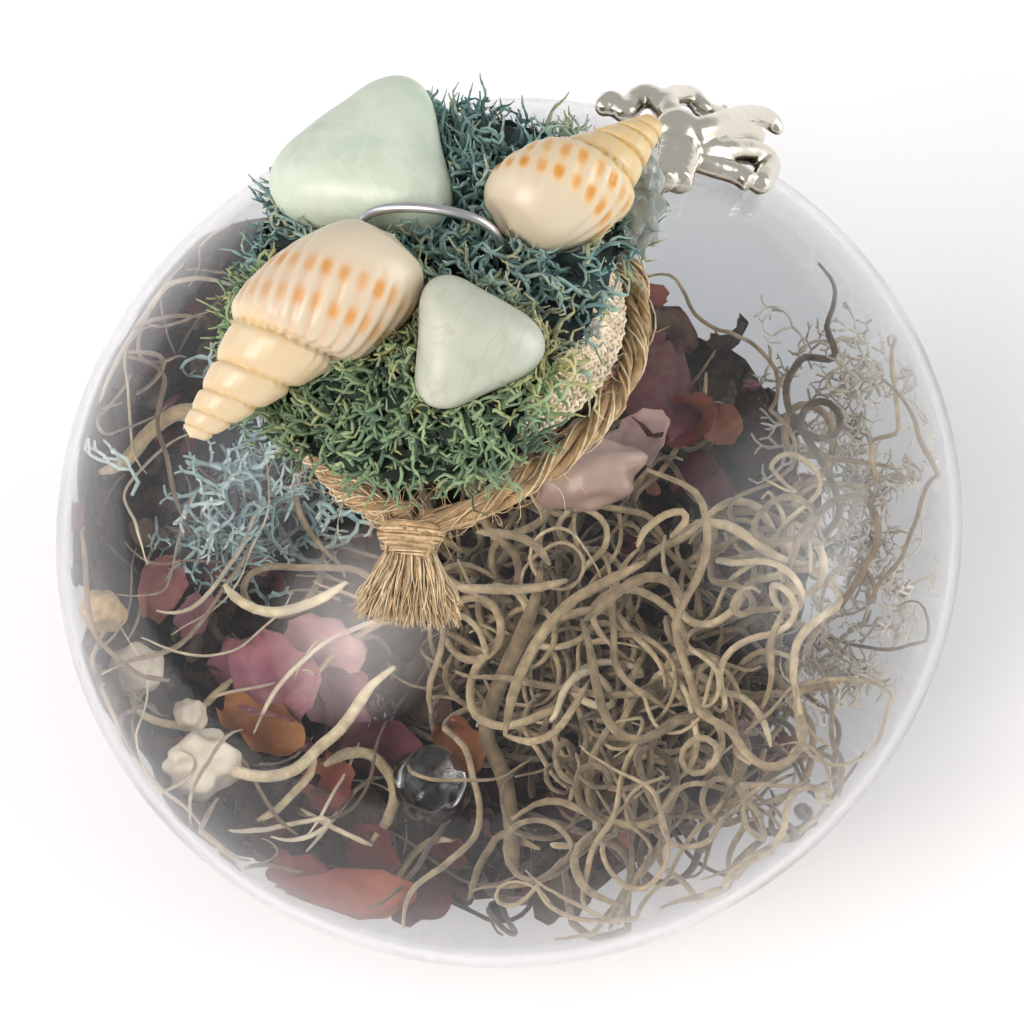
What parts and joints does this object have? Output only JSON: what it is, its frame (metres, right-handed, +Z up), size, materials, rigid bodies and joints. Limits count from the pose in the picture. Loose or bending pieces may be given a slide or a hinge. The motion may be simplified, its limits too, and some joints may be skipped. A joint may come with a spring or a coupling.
{
  "type": "witch ball",
  "caption": "Sealed clear glass ball filled with dried plants, dressed round its capped neck with moss, stones, shells, jute and a cast charm, and hung by a wire loop.",
  "frame": {"origin": "centre of the small flat spot under the ball, which it rests on", "axes": "+Z up along the axis of the neck, -Y towards the front, where the twine's knot hangs, +X to the right"},
  "size_m": [0.08, 0.08, 0.0842],
  "materials": {
    "glass": "clear, polished",
    "cap_metal": "bright pressed sheet",
    "wire": "drawn, satin",
    "jute_ribbon": "coarse woven",
    "jute_twine": "twisted, hairy",
    "blue_moss": "soft, dyed",
    "green_moss": "soft, dyed",
    "pale_stone": "tumbled, satin",
    "shell": "smooth, slightly glossy",
    "charm_metal": "cast, bright with dark hollows"
  },
  "bodies": {
    "root": {"glass_ball": "glass", "cap": "cap_metal", "hanger_loop": "wire", "jute_band": "jute_ribbon", "twine": "jute_twine", "moss_blue": "blue_moss", "moss_green": "green_moss", "stone_large": "pale_stone", "stone_small": "pale_stone", "shell_left": "shell", "shell_right": "shell", "charm": "charm_metal"}
  },
  "joints": []
}
